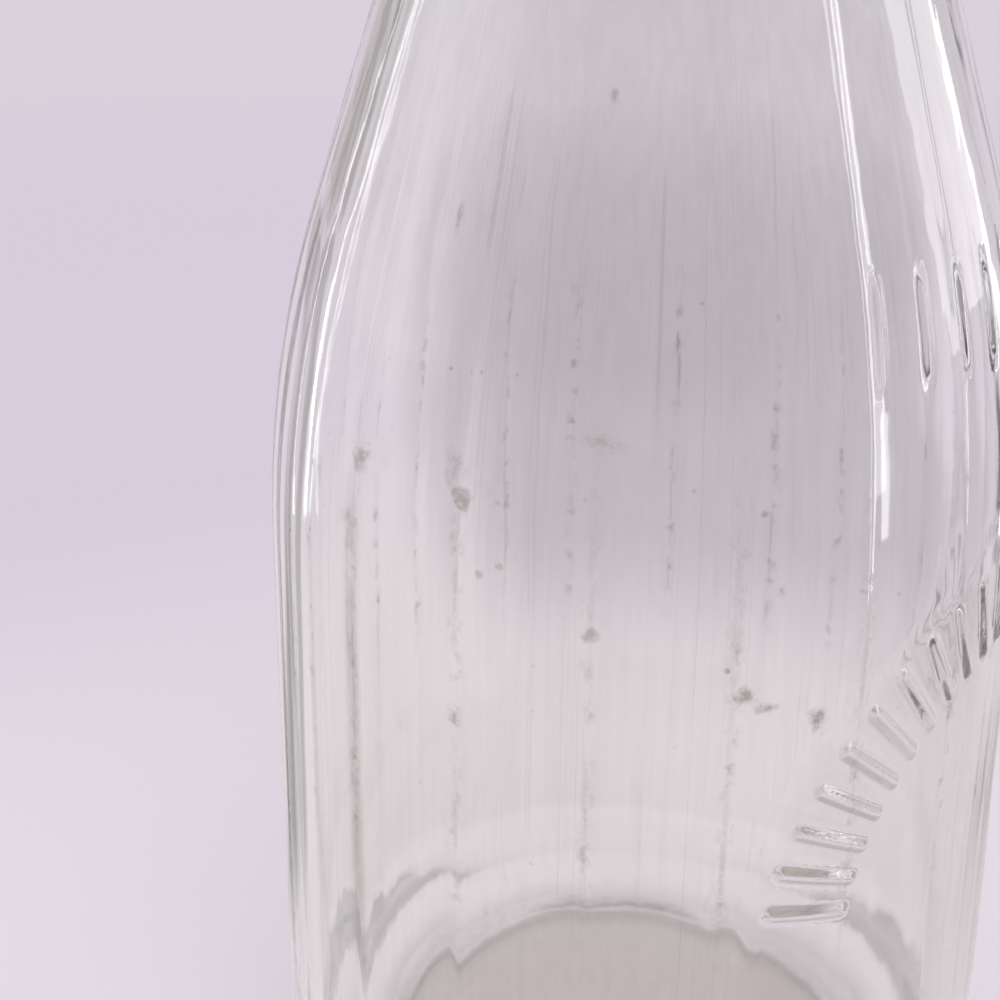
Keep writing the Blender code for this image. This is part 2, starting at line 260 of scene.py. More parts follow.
# Upright lights that only the glass shows
STRIP_DISTANCE = 0.22
STRIP_TOP = 0.300
STRIPS = (  # azimuth, width and lean in degrees, height of its low end, brightness
    (110.0, 3.0, 4.0, 0.040, 6.0),
    (113.5, 7.0, 4.0, 0.060, 3.6),
    (117.0, 2.0, 4.0, 0.020, 7.0),
    (121.0, 1.2, 4.0, 0.015, 5.0),
    (88.0, 9.0, 0.0, 0.100, 2.6),
    (80.0, 2.0, 0.0, 0.030, 3.0),
    (69.0, 12.0, 0.0, 0.100, 1.8),
    (62.0, 2.0, 0.0, 0.015, 4.0),
    (-67.0, 0.9, 0.0, 0.015, 3.5),
)

LIP_RADIUS = CAP_BORE_RADIUS + LIP_WALL
THROAT_RADIUS = CAP_BORE_RADIUS - CAP_SEAT_WIDTH
NECK_RADIUS = THROAT_RADIUS + NECK_WALL
BEAD_BOTTOM = GLASS_HEIGHT - BEAD_HEIGHT
SHOULDER_END = BEAD_BOTTOM - NECK_LENGTH
SEAT_HEIGHT = GLASS_HEIGHT - CAP_SEAT_DEPTH


def arc(centre, radius, start, end, step):
    """Points on an arc in the (radius, height) plane, both ends included."""
    count = max(1, ceil(abs(end - start) / step))
    turns = np.linspace(start, end, count + 1)
    return [(centre[0] + radius * cos(a), centre[1] + radius * sin(a)) for a in turns]


def straight(start, end, spacing):
    """Points between two others at a spacing, with neither end."""
    count = max(1, ceil(hypot(end[0] - start[0], end[1] - start[1]) / spacing))
    shares = np.linspace(0, 1, count + 1)[1:-1]
    return [(start[0] + (end[0] - start[0]) * s, start[1] + (end[1] - start[1]) * s) for s in shares]


def shoulder(low_radius, high_radius, spacing):
    """The S-curve from the body to the neck, as the frame has it."""
    height = SHOULDER_END - SHOULDER_START
    curved = (SHOULDER_ARC_SHARE + NECK_ARC_SHARE) * height
    low, high = 0.0, pi / 2
    for _ in range(60):
        lean = (low + high) / 2
        if curved * tan(lean / 2) + (height - curved) * tan(lean) < low_radius - high_radius:
            low = lean
        else:
            high = lean
    outward = SHOULDER_ARC_SHARE * height / sin(lean)
    inward = NECK_ARC_SHARE * height / sin(lean)
    first = arc((low_radius - outward, SHOULDER_START), outward, 0.0, lean, spacing / outward)
    last = arc((high_radius + inward, SHOULDER_END), inward, pi + lean, pi, spacing / inward)
    return first + straight(first[-1], last[0], spacing) + last


def outer_line(fine, coarse):
    """Outside of the glass, from the middle of the base up to the lip's flat land."""
    ring_inner = BODY_RADIUS - HEEL_RADIUS - BEARING_WIDTH
    dome = (ring_inner**2 + PUSH_UP**2) / (2 * PUSH_UP)
    spread = acos(1 - PUSH_UP / dome)
    push_up = arc((0.0, PUSH_UP - dome), dome, pi / 2, pi / 2 - spread, spread / 16)
    heel = arc((BODY_RADIUS - HEEL_RADIUS, HEEL_RADIUS), HEEL_RADIUS, -pi / 2, 0.0, radians(7))
    body = straight(heel[-1], (BODY_RADIUS, SHOULDER_START), fine)
    sides = shoulder(BODY_RADIUS, NECK_RADIUS, coarse)
    panel_top = PANEL_HEIGHT + PANEL_RADIUS
    low_sides = [p for p in shoulder(BODY_RADIUS, NECK_RADIUS, fine) if p[1] <= panel_top]
    sides = low_sides + [p for p in sides if p[1] > panel_top + coarse / 2]
    flare = []
    for share in np.linspace(0, 1, 13):
        reach = NECK_RADIUS + (LIP_RADIUS - NECK_RADIUS) * (1 - cos(pi * share)) / 2
        flare.append((reach, BEAD_BOTTOM + BEAD_FLARE_HEIGHT * share))
    centre = (LIP_RADIUS - LIP_OUTER_ROUND, GLASS_HEIGHT - LIP_OUTER_ROUND)
    lip = arc(centre, LIP_OUTER_ROUND, 0.0, pi / 2, radians(9))
    return push_up + heel + body + sides + flare + lip


def inner_line(spacing):
    """Inside of the glass, from the lip's flat land down to the middle of the floor."""
    centre = (CAP_BORE_RADIUS + LIP_INNER_ROUND, GLASS_HEIGHT - LIP_INNER_ROUND)
    lip = arc(centre, LIP_INNER_ROUND, pi / 2, pi, radians(12))
    corner_centre = (CAP_BORE_RADIUS - SEAT_ROUND, SEAT_HEIGHT + SEAT_ROUND)
    corner = arc(corner_centre, SEAT_ROUND, 0.0, -pi / 2, radians(22))
    edge_centre = (THROAT_RADIUS + SEAT_ROUND, SEAT_HEIGHT - SEAT_ROUND)
    edge = arc(edge_centre, SEAT_ROUND, pi / 2, pi, radians(22))
    inside = BODY_RADIUS - BODY_WALL
    wall = list(reversed(shoulder(inside, THROAT_RADIUS, spacing)))
    floor_edge = PUSH_UP + BASE_THICKNESS - FLOOR_CROWN
    heel_centre = (inside - INNER_HEEL_RADIUS, floor_edge + INNER_HEEL_RADIUS)
    heel = arc(heel_centre, INNER_HEEL_RADIUS, 0.0, -pi / 2, radians(5))
    body = straight(wall[-1], heel[0], spacing * 3)
    bowl = (heel_centre[0] ** 2 + FLOOR_CROWN**2) / (2 * FLOOR_CROWN)
    spread = acos(1 - FLOOR_CROWN / bowl)
    middle = (0.0, floor_edge + FLOOR_CROWN - bowl)
    floor = arc(middle, bowl, pi / 2 - spread, pi / 2, spread / 20)
    return lip + corner + edge + wall + body + heel + floor[1:]


def smooth(value, start, end):
    """0 before start, 1 past end, with an easy slope between."""
    share = np.clip((value - start) / (end - start), 0, 1)
    return share * share * (3 - 2 * share)


def from_panel(angle):
    """Angle from the panel's middle, within half a turn."""
    return (angle + pi) % (2 * pi) - pi


def hollows(angle, radius, height):
    """How far the outside lies under its round size, in the flutes and in the panel's middle."""
    along = (angle * FLUTE_COUNT / (2 * pi)) % 1.0 * 2 - 1
    near = 1 - np.abs(along)
    soft = np.sqrt(near**2 + ARRIS_SOFTNESS**2) - ARRIS_SOFTNESS
    facet = soft * (2 - soft)
    rise = smooth(height, HEEL_RADIUS, HEEL_RADIUS + FLUTE_FADE)
    fall = 1 - smooth(height, (SHOULDER_START + SHOULDER_END) / 2, SHOULDER_END)
    reach = np.hypot(from_panel(angle) * BODY_RADIUS, height - PANEL_HEIGHT)
    outside = smooth(reach, PANEL_RADIUS - PANEL_FADE, PANEL_RADIUS)
    flutes = FLUTE_DEPTH * radius / BODY_RADIUS * facet * fall * outside
    beside_middle = smooth(np.abs(from_panel(angle)) * BODY_RADIUS, *SINK_SIDES)
    level = smooth(height, *SINK_BELOW) * (1 - smooth(height, *SINK_ABOVE))
    return flutes * rise + PANEL_SINK * (1 - beside_middle) * level


def bar(across, along, half_length):
    """Height of a raised bar with a flat back, sloping flanks and round ends."""
    past_end = np.clip(np.abs(along) - (half_length - BAR_WIDTH / 2), 0, None)
    reach = np.hypot(across, past_end)
    return BAR_RELIEF * (1 - smooth(reach, BAR_WIDTH / 2 - BAR_FLANK, BAR_WIDTH / 2))


def relief(angle, height):
    """Raised bars of the panel's ring and of the shoulder's row."""
    across = from_panel(angle) * BODY_RADIUS
    up = height - PANEL_HEIGHT
    reach = np.hypot(across, up)
    pitch = 2 * pi / RING_BARS
    turn = np.arctan2(up, across)
    off = ((turn / pitch + 0.5) % 1.0 - 0.5) * pitch * reach
    middle = (RING_INNER_RADIUS + RING_OUTER_RADIUS) / 2
    ring = bar(off, reach - middle, (RING_OUTER_RADIUS - RING_INNER_RADIUS) / 2)
    ring = np.where(np.sin(turn) > sin(RING_END), ring, 0)
    place = from_panel(angle) / ROW_PITCH
    nearest = np.clip(np.round(place), -(ROW_BARS // 2), ROW_BARS // 2)
    aside = (place - nearest) * ROW_PITCH * BODY_RADIUS
    row = bar(aside, height - (ROW_LOW + ROW_HIGH) / 2, (ROW_HIGH - ROW_LOW) / 2)
    return np.maximum(ring, row) * smooth(height, HEEL_RADIUS, HEEL_RADIUS + FLUTE_FADE)


def column_angles(spacing):
    """Angles of the mesh's columns: even over the panel, and gathered at the arrises elsewhere."""
    flute = 2 * pi / FLUTE_COUNT
    wide = ceil(PANEL_RADIUS / (BODY_RADIUS * flute))
    per_flute = INNER_SKIP * round(flute * BODY_RADIUS / spacing / INNER_SKIP)
    front = np.linspace(-wide * flute, wide * flute, 2 * wide * per_flute + 1)[:-1]
    shares = BESIDE_ARRIS + (1.0,) + tuple(2 - share for share in reversed(BESIDE_ARRIS[1:]))
    back = [flute * (i + share / 2) for i in range(wide, FLUTE_COUNT - wide) for share in shares]
    return np.concatenate([front, back])


def grid_faces(first, rows, columns):
    """Quads of a grid that closes on itself, from its first point on."""
    row = np.arange(rows - 1)[:, None] * columns
    column = np.arange(columns)[None]
    a = first + row + column
    b = first + row + (column + 1) % columns
    return np.stack([a, b, b + columns, a + columns], 2).reshape(-1, 4).tolist()


def turned_points(line, angles, worked):
    """Points of a turned line with its flutes and raised work, and how steep that work is at each,
    which sets the painted shade on its flanks.
    """
    line = np.array(line)
    radius = np.repeat(line[:, :1], len(angles), 1)
    height = np.repeat(line[:, 1:], len(angles), 1)
    angle = np.repeat(angles[None], len(line), 0)
    flank_shade = np.zeros(radius.size)
    if worked:
        raised = relief(angle, height)
        radius = radius - hollows(angle, radius, height) + raised
        share = (raised / BAR_RELIEF).ravel()
        flank_shade = 4 * share * (1 - share)
    points = np.stack([radius * np.cos(angle), radius * np.sin(angle), height], 2)
    return points.reshape(-1, 3).tolist(), flank_shade.tolist()


def build_glass(materials):
    """The bottle as one closed skin, its inside with fewer columns than its outside."""
    across, fine, coarse = SPACINGS
    outside = outer_line(fine, coarse)[1:]
    inside = inner_line(coarse)[:-1]
    angles = column_angles(across)
    inner_angles = angles[::INNER_SKIP]
    many, few = len(angles), len(inner_angles)
    points, flanks = turned_points(outside, angles, True)
    inner_first = len(points)
    inner_points, inner_flanks = turned_points(inside, inner_angles, False)
    points += inner_points
    flanks += inner_flanks + [0.0, 0.0]
    faces = grid_faces(0, len(outside), many)
    slots = [0] * len(faces)
    rim = inner_first - many
    for i in range(few):
        low = [rim + (i * INNER_SKIP + k) % many for k in range(INNER_SKIP + 1)]
        faces.append(low + [inner_first + (i + 1) % few, inner_first + i])
        slots.append(0)
    inner_faces = grid_faces(inner_first, len(inside), few)
    faces += inner_faces
    slots += [1] * len(inner_faces)
    points += [(0, 0, PUSH_UP), (0, 0, PUSH_UP + BASE_THICKNESS)]
    base_pole, floor_pole = len(points) - 2, len(points) - 1
    last = floor_pole - 1 - few
    for i in range(many):
        faces.append((base_pole, (i + 1) % many, i))
        slots.append(0)
    for i in range(few):
        faces.append((floor_pole, last + i, last + (i + 1) % few))
        slots.append(1)
    mesh = bpy.data.meshes.new("glass")
    mesh.from_pydata(points, [], faces)
    for material in materials:
        mesh.materials.append(material)
    mesh.polygons.foreach_set("material_index", slots)
    mesh.shade_smooth()
    # Where the raised bars' flanks get painted shade
    mesh.attributes.new("flank_shade", "FLOAT", "POINT").data.foreach_set("value", flanks)
    glass = link("glass", mesh)
    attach(glass, "bottle")
    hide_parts("glass_bottle")


def link(name, data):
    """Put an object with this data in the scene."""
    thing = bpy.data.objects.new(name, data)
    bpy.context.scene.collection.objects.link(thing)
    return thing


class Wires:
    """Short calls that wire up a node tree."""

    def __init__(self, tree):
        self.tree = tree

    def node(self, kind, inputs=(), **settings):
        made = self.tree.nodes.new("ShaderNode" + kind)
        for key, value in settings.items():
            setattr(made, key, value)
        for key, value in dict(inputs).items():
            self.put(value, made.inputs[key])
        return made

    def put(self, value, socket):
        """Link an output to an input, or set a plain value on it."""
        if isinstance(value, bpy.types.NodeSocket):
            self.tree.links.new(value, socket)
        else:
            socket.default_value = value

    def math(self, operation, *values):
        made = self.node("Math", operation=operation)
        for value, socket in zip(values, made.inputs):
            self.put(value, socket)
        return made.outputs[0]

    def times(self, first, second):
        return self.math("MULTIPLY", first, second)

    def ease(self, value, start, end, low=0.0, high=1.0):
        """low before start, high past end, with an easy slope between."""
        inputs = {"Value": value, "From Min": start, "From Max": end, "To Min": low, "To Max": high}
        return self.node("MapRange", inputs, interpolation_type="SMOOTHSTEP").outputs["Result"]

    def band(self, value, low, high, soft):
        """1 between low and high, 0 outside, with soft sides."""
        rise = self.ease(value, low - soft, low + soft)
        fall = self.ease(value, high - soft, high + soft, 1.0, 0.0)
        return self.times(rise, fall)

    def noise(self, vector, scale, detail, roughness, distortion=0.0):
        inputs = {"Vector": vector, "Scale": scale, "Detail": detail, "Roughness": roughness}
        inputs["Distortion"] = distortion
        return self.node("TexNoise", inputs).outputs[0]

    def scaled(self, vector, factors):
        made = self.node("VectorMath", {0: vector, 1: factors}, operation="MULTIPLY")
        return made.outputs[0]

    def mix(self, share, first, second):
        """Mix of two colours."""
        made = self.node("Mix", data_type="RGBA")
        self.put(share, made.inputs[0])
        self.put(first, made.inputs[6])
        self.put(second, made.inputs[7])
        return made.outputs[2]

    def mix_shader(self, share, first, second):
        return self.node("MixShader", {0: share, 1: first, 2: second}).outputs[0]

    def split(self, vector):
        return self.node("SeparateXYZ", {0: vector}).outputs

    def bump(self, height, distance):
        inputs = {"Height": height, "Distance": distance, "Strength": 1.0}
        return self.node("Bump", inputs).outputs[0]


def new_material(name):
    """A material with its node wires, its Principled shader and its object coordinates."""
    material = bpy.data.materials.new(name)
    material.use_nodes = True
    wires = Wires(material.node_tree)
    shader = material.node_tree.nodes["Principled BSDF"]
    place = wires.node("TexCoord").outputs["Object"]
    return material, wires, shader, place


def beside(wires, angle, side):
    """Distance around the body from a line to the right of the camera's side."""
    turn = wires.math("SUBTRACT", angle, side + CAMERA_AZIMUTH - pi / 2)
    return wires.times(turn, BODY_RADIUS)


def one_mark(wires, angle, z, ragged, side, height, half_width, half_height, strength):
    """A rubbed spot with a ragged edge."""
    across = wires.math("DIVIDE", beside(wires, angle, radians(side)), half_width)
    along = wires.math("MULTIPLY_ADD", z, 1 / half_height, -height / half_height)
    squares = wires.math("MULTIPLY_ADD", across, across, wires.times(along, along))
    reach = wires.math("ADD", wires.math("SQRT", squares), ragged)
    return wires.ease(reach, 0.30, 1.35, strength, 0.0)


def specks(wires, place, z, coarse):
    """Small ragged spots, sown over a belt."""
    cells = wires.node("TexVoronoi", {"Vector": place, "Scale": SPECK_SCALE}).outputs
    size = wires.math("MULTIPLY_ADD", coarse, 0.20, -0.10)
    dots = wires.ease(wires.math("ADD", cells["Distance"], size), 0.02, 0.10, 0.9, 0.0)
    few = wires.ease(wires.split(cells["Color"])[0], *SPECK_CELLS)
    return wires.times(wires.times(dots, few), wires.band(z, *SPECKLED_BELT))


def rubbed_places(wires, place, angle, z, coarse, wobble, trail):
    """How far the glass is rubbed: along the arrises of a belt, in single marks and in specks."""
    turn = wires.times(angle, FLUTE_COUNT / (2 * pi))
    off = wires.math("ABSOLUTE", wires.math("WRAP", turn, 0.5, -0.5))
    arris = wires.times(off, 2 * pi * BODY_RADIUS / FLUTE_COUNT)
    near = wires.ease(wires.math("ADD", arris, wobble), *BLOT_SIDES, 1.0, 0.0)
    blots = wires.times(near, wires.ease(coarse, 0.50, 0.70, 0.0, 0.9))
    waver = wires.math("ADD", arris, wires.times(wobble, 0.4))
    line = wires.ease(waver, 0.0, ARRIS_LINE, 1.0, 0.0)
    line = wires.times(line, wires.ease(trail, 0.40, 0.66, 0.0, 0.6))
    rubbed = wires.times(wires.math("MAXIMUM", blots, line), wires.band(z, *WORN_BELT))
    ragged = wires.math("MULTIPLY_ADD", coarse, 3.6, -1.8)
    for mark in MARKS:
        rubbed = wires.math("MAXIMUM", rubbed, one_mark(wires, angle, z, ragged, *mark))
    rubbed = wires.math("MAXIMUM", rubbed, specks(wires, place, z, coarse))
    grain = wires.noise(place, 1500.0, 2.0, 0.6)
    return wires.times(rubbed, wires.ease(grain, 0.30, 0.60, 0.65, 1.0))


def mould_seam(wires, angle, z, wobble, trail):
    """The upright line of the mould's joint, and how strong it is."""
    off = wires.math("ABSOLUTE", beside(wires, angle, SEAM))
    seam = wires.ease(wires.math("ADD", off, wires.times(wobble, 0.25)), *SEAM_SIDES, 0.85, 0.0)
    seam = wires.times(seam, wires.band(z, *SEAM_BELT))
    return wires.times(seam, wires.ease(trail, 0.3, 0.6, 0.35, 1.0))


def on_panel(wires, angle, z, wobble):
    """1 on the round panel, which is duller than the flutes, and 0 beside it."""
    up = wires.math("SUBTRACT", z, PANEL_HEIGHT)
    across = wires.times(angle, BODY_RADIUS)
    squares = wires.math("MULTIPLY_ADD", across, across, wires.times(up, up))
    reach = wires.math("ADD", wires.math("SQRT", squares), wires.times(wobble, 1.5))
    return wires.ease(reach, PANEL_RADIUS + DULL_EDGE[0], PANEL_RADIUS + DULL_EDGE[1], 1.0, 0.0)


def hairlines(wires, place, angle):
    """Fine straight lines up the glass, with gaps."""
    level = {0: wires.math("COSINE", angle), 1: wires.math("SINE", angle)}
    threads = wires.noise(wires.node("CombineXYZ", level).outputs[0], 24.0, 1.0, 0.5)
    off = wires.math("ABSOLUTE", wires.math("SUBTRACT", threads, 0.5))
    patchy = wires.noise(wires.scaled(place, (1.0, 1.0, 0.25)), 130.0, 2.0, 0.5)
    return wires.times(wires.ease(off, 0.001, 0.010, 1.0, 0.0), wires.ease(patchy, 0.44, 0.60))


def outer_glass():
    """Clear soda glass with fine upright streaks, rubbed where bottles touch in a crate, and with
    painted shade on the flanks of its raised bars.
    """
    material, wires, shader, place = new_material("glass_outside")
    x, y, z = wires.split(place)
    angle = wires.math("ARCTAN2", y, x)
    coarse = wires.noise(place, 430.0, 2.0, 0.55)
    wobble = wires.math("MULTIPLY_ADD", coarse, WOBBLE, -WOBBLE / 2)
    trail = wires.noise(wires.scaled(place, (1.0, 1.0, 0.3)), 320.0, 3.0, 0.7)
    rubbed = rubbed_places(wires, place, angle, z, coarse, wobble, trail)
    seam = mould_seam(wires, angle, z, wobble, trail)
    flank_shade = wires.node("Attribute", attribute_name="flank_shade").outputs["Fac"]
    # Painted shade on the flanks of the raised bars, with the mould seam's dark line
    seam_line_and_flank_shade = wires.math("MAXIMUM", seam, wires.times(flank_shade, 0.4))
    panel = on_panel(wires, angle, z, wobble)
    streaks = wires.noise(wires.scaled(place, (1.0, 1.0, 0.05)), 700.0, 3.0, 0.65)

    colour = wires.mix(wires.ease(streaks, 0.35, 0.75), CLEAR, FILMED)
    colour = wires.mix(hairlines(wires, place, angle), colour, HAIRLINE)
    colour = wires.mix(panel, colour, DULLED)
    colour = wires.mix(seam_line_and_flank_shade, colour, SEAM_LINE_AND_FLANK_SHADE)
    wires.put(wires.mix(rubbed, colour, RUBBED), shader.inputs["Base Color"])
    roughness = wires.ease(rubbed, 0.2, 1.0, *ROUGHNESS)
    roughness = wires.math("MULTIPLY_ADD", panel, PANEL_ROUGHNESS, roughness)
    wires.put(roughness, shader.inputs["Roughness"])
    wires.put(wires.ease(rubbed, 0.0, 1.0, *TRANSMISSION), shader.inputs["Transmission Weight"])
    shader.inputs["IOR"].default_value = GLASS_INDEX
    lines = wires.noise(wires.scaled(place, (1.0, 1.0, 0.012)), 260.0, 2.0, 0.6)
    wires.put(wires.bump(lines, BUMP), shader.inputs["Normal"])
    return material


def inner_glass():
    """The inside of the glass, blown and so a little uneven, and rougher round the floor."""
    material, wires, shader, place = new_material("glass_inside")
    shader.inputs["Base Color"].default_value = CLEAR
    roughness = wires.ease(wires.split(place)[2], *INNER_ROUGHNESS_HEIGHTS, *INNER_ROUGHNESS)
    wires.put(roughness, shader.inputs["Roughness"])
    shader.inputs["Transmission Weight"].default_value = 1.0
    shader.inputs["IOR"].default_value = GLASS_INDEX
    uneven = wires.noise(wires.scaled(place, (1.0, 1.0, 0.35)), 55.0, 2.0, 0.5)
    wires.put(wires.bump(uneven, INNER_BUMP), shader.inputs["Normal"])
    return material


def board():
    """Pulp board soaked in wax."""
    material, wires, shader, place = new_material("waxed_board")
    mottle = wires.noise(place, 420.0, 5.0, 0.65)
    fibre = wires.noise(wires.scaled(place, (1.0, 3.5, 1.0)), 1500.0, 4.0, 0.7, 1.2)
    flecks = wires.ease(fibre, 0.66, 0.72)
    base = wires.mix(wires.ease(mottle, 0.3, 0.7), DARK_BOARD, PALE_BOARD)
    wires.put(wires.mix(flecks, base, BOARD_FLECK), shader.inputs["Base Color"])
    wires.put(wires.ease(mottle, 0.3, 0.7, *BOARD_ROUGHNESS), shader.inputs["Roughness"])
    wires.put(wires.bump(fibre, BOARD_BUMP), shader.inputs["Normal"])
    return material


def wire_steel():
    """Drawn steel wire."""
    material, wires, shader, place = new_material("staple_wire")
    shader.inputs["Metallic"].default_value = 1.0
    dull = wires.noise(place, 900.0, 4.0, 0.7)
    wires.put(wires.mix(dull, BRIGHT_WIRE, DULL_WIRE), shader.inputs["Base Color"])
    wires.put(wires.ease(dull, 0.3, 0.7, *WIRE_ROUGHNESS), shader.inputs["Roughness"])
    return material


def tab_outline(side, fold):
    """Outline of the lift tab, with a margin beside it and one at its fold."""
    reach = TAB_WIDTH / 2 + side
    middle = TAB_FOLD_OFFSET - TAB_LENGTH + TAB_WIDTH / 2
    turns = np.linspace(-pi / 2, pi / 2, TAB_END_STEPS + 1)
    bend = [(middle - reach * cos(a), reach * sin(a)) for a in turns]
    return [(TAB_FOLD_OFFSET + fold, -reach)] + bend + [(TAB_FOLD_OFFSET + fold, reach)]


def build_board(name, outlines, faces, node, body, material):
    """A flat piece of board with softened edges, which may have a hole in it."""
    sheet = bpy.data.curves.new(name, "CURVE")
    sheet.dimensions = "2D"
    sheet.fill_mode = "BOTH"
    sheet.extrude = (faces[1] - faces[0]) / 2 - BOARD_ROUND
    sheet.bevel_depth = BOARD_ROUND
    sheet.bevel_resolution = 2
    sheet.offset = -BOARD_ROUND
    for outline in outlines:
        spline = sheet.splines.new("POLY")
        spline.points.add(len(outline) - 1)
        for spot, (x, y) in zip(spline.points, outline):
            spot.co = (x, y, 0.0, 1.0)
        spline.use_cyclic_u = True
    sheet.materials.append(material)
    piece = link(name, sheet)
    piece.location.z = (faces[0] + faces[1]) / 2
    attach(piece, body)
    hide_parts(node)


def build_staple(material):
    """The bent wire, from one clinched end over the crown to the other."""
    rise = TOP_PLY[1] + STAPLE_CLEARANCE + STAPLE_WIRE_RADIUS
    sink = SEALING_PLY[0] - STAPLE_CLEARANCE - STAPLE_WIRE_RADIUS
    half = STAPLE_SPAN / 2
    inset = STAPLE_BEND_RADIUS
    low = arc((half - inset, sink + inset), inset, -pi / 2, 0.0, radians(15))
    high = arc((half - inset, rise - inset), inset, 0.0, pi / 2, radians(15))
    one_side = [(half - STAPLE_CLINCH, sink)] + low + high
    path = one_side + [(-across, height) for across, height in reversed(one_side)]
    wire = bpy.data.curves.new("staple", "CURVE")
    wire.dimensions = "3D"
    wire.bevel_depth = STAPLE_WIRE_RADIUS
    wire.bevel_resolution = 5
    wire.use_fill_caps = True
    spline = wire.splines.new("POLY")
    spline.points.add(len(path) - 1)
    for spot, (across, height) in zip(spline.points, path):
        spot.co = (STAPLE_OFFSET, across, height, 1.0)
    wire.materials.append(material)
    staple = link("staple", wire)
    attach(staple, "cap")
    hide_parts("tab_staple")


def build_cap():
    """Both plies, the tab and its staple."""
    pulp = board()
    turns = np.linspace(0, 2 * pi, CIRCLE_STEPS + 1)[:-1]
    circle = [(CAP_RADIUS * cos(a), CAP_RADIUS * sin(a)) for a in turns]
    build_board("cap_sealing_ply", [circle], SEALING_PLY, "sealing_ply", "cap", pulp)
    slot = tab_outline(TAB_CUT, FOLD_CUT)
    build_board("cap_top_ply", [circle, slot], TOP_PLY, "top_ply", "cap", pulp)
    build_board("cap_tab", [tab_outline(0.0, 0.0)], TOP_PLY, "pull_tab", "tab", pulp)
    build_staple(wire_steel())


def compass(wires, vector):
    """Azimuth of a direction or place in radians, 0 straight behind the bottle and + to the right."""
    turned = wires.node(
        "VectorRotate", {"Vector": vector, "Angle": -CAMERA_AZIMUTH}, rotation_type="Z_AXIS"
    ).outputs[0]
    x, y, z = wires.split(turned)
    return wires.math("ARCTAN2", x, y), z


def table_in_glass(wires, azimuth, reach):
    """The table as the glass shows it: painted light near the bottle and round its heel, a dim part
    behind the bottle painted as shade, and a dark streak to its left.
    """
    # Painted light near the bottle and round its heel
    colour = wires.mix(wires.ease(reach, *PAINTED_GLOW_REACH), PAINTED_GLOW_FLOOR, BRIGHT_FAR_FLOOR)
    colour = wires.mix(wires.ease(reach, *PAINTED_HEEL_GLOW_REACH), PAINTED_HEEL_GLOW, colour)
    # Painted shade behind the bottle
    right_side = wires.math("ADD", azimuth, wires.ease(reach, *DIM_NARROWER))
    right_end = wires.ease(right_side, *DIM_RIGHT_END, 1.0, 0.0)
    behind = wires.times(wires.ease(azimuth, *DIM_LEFT_END), right_end)
    dim = wires.times(wires.ease(reach, *DIM_START), wires.ease(reach, *DIM_FADE))
    colour = wires.mix(wires.times(dim, behind), colour, DIM_FLOOR)
    near_bend = wires.ease(reach, *STREAK_NEAR_BEND)
    bend = wires.math("ADD", near_bend, wires.ease(reach, *STREAK_FAR_BEND))
    streak = wires.band(wires.math("ADD", azimuth, bend), *STREAK_SIDES)
    streak = wires.times(streak, wires.band(reach, *STREAK_ENDS))
    return wires.mix(streak, colour, DARK_STREAK)


def shown_by_glass(wires, rays):
    """1 for all that a mirroring or clear surface shows, and 0 for the rest."""
    return wires.math("MAXIMUM", rays["Is Glossy Ray"], rays["Is Transmission Ray"])


def floor_material():
    """Pale table that fades into the backdrop, painted lighter near the bottle and with a painted
    shade under it.
    """
    material = bpy.data.materials.new("floor")
    material.use_nodes = True
    wires = Wires(material.node_tree)
    wires.tree.nodes.clear()
    place = wires.node("TexCoord").outputs["Object"]
    azimuth, _ = compass(wires, place)
    reach = wires.node("VectorMath", {0: place}, operation="LENGTH").outputs["Value"]
    # Painted light on the table near the bottle
    near = wires.mix(wires.ease(reach, *NEAR_FLOOR_GLOW_REACH), NEAR_FLOOR_GLOW, MIDDLE_FLOOR)
    table = wires.mix(wires.ease(reach, *MIDDLE_FLOOR_REACH), near, BACKDROP)
    rays = wires.node("LightPath").outputs
    in_glass = shown_by_glass(wires, rays)
    colour = wires.mix(in_glass, table, table_in_glass(wires, azimuth, reach))
    # Painted shade under the bottle, darker at its rim
    painted_shade_below = wires.mix(wires.ease(reach, *PAINTED_SHADE_UNDER_GLASS_REACH), PAINTED_SHADE_UNDER_GLASS, PAINTED_SHADE_UNDER_HEEL)
    colour = wires.mix(wires.ease(reach, *PAINTED_SHADE_UNDER_HEEL_REACH), painted_shade_below, colour)
    lit_colour = wires.mix(1 - PAINTED_SHARE, (0, 0, 0, 1), colour)
    glow = wires.node("Emission", {"Color": colour, "Strength": PAINTED_SHARE}).outputs[0]
    lit = wires.node("BsdfDiffuse", {"Color": lit_colour}).outputs[0]
    painted = wires.node("AddShader", {0: glow, 1: lit}).outputs[0]
    plain = wires.node("BsdfDiffuse", {"Color": MIDDLE_FLOOR}).outputs[0]
    seen = wires.math("MAXIMUM", rays["Is Camera Ray"], in_glass)
    surface = wires.node("OutputMaterial").inputs["Surface"]
    wires.put(wires.mix_shader(seen, plain, painted), surface)
    return material


def build_stage():
    """The table."""
    bm = bmesh.new()
    bmesh.ops.create_circle(bm, cap_ends=True, segments=96, radius=FLOOR_RADIUS)
    mesh = bpy.data.meshes.new("floor")
    bm.to_mesh(mesh)
    bm.free()
    mesh.materials.append(floor_material())
    floor = link("floor", mesh)
    floor.location.z = -FLOOR_DROP


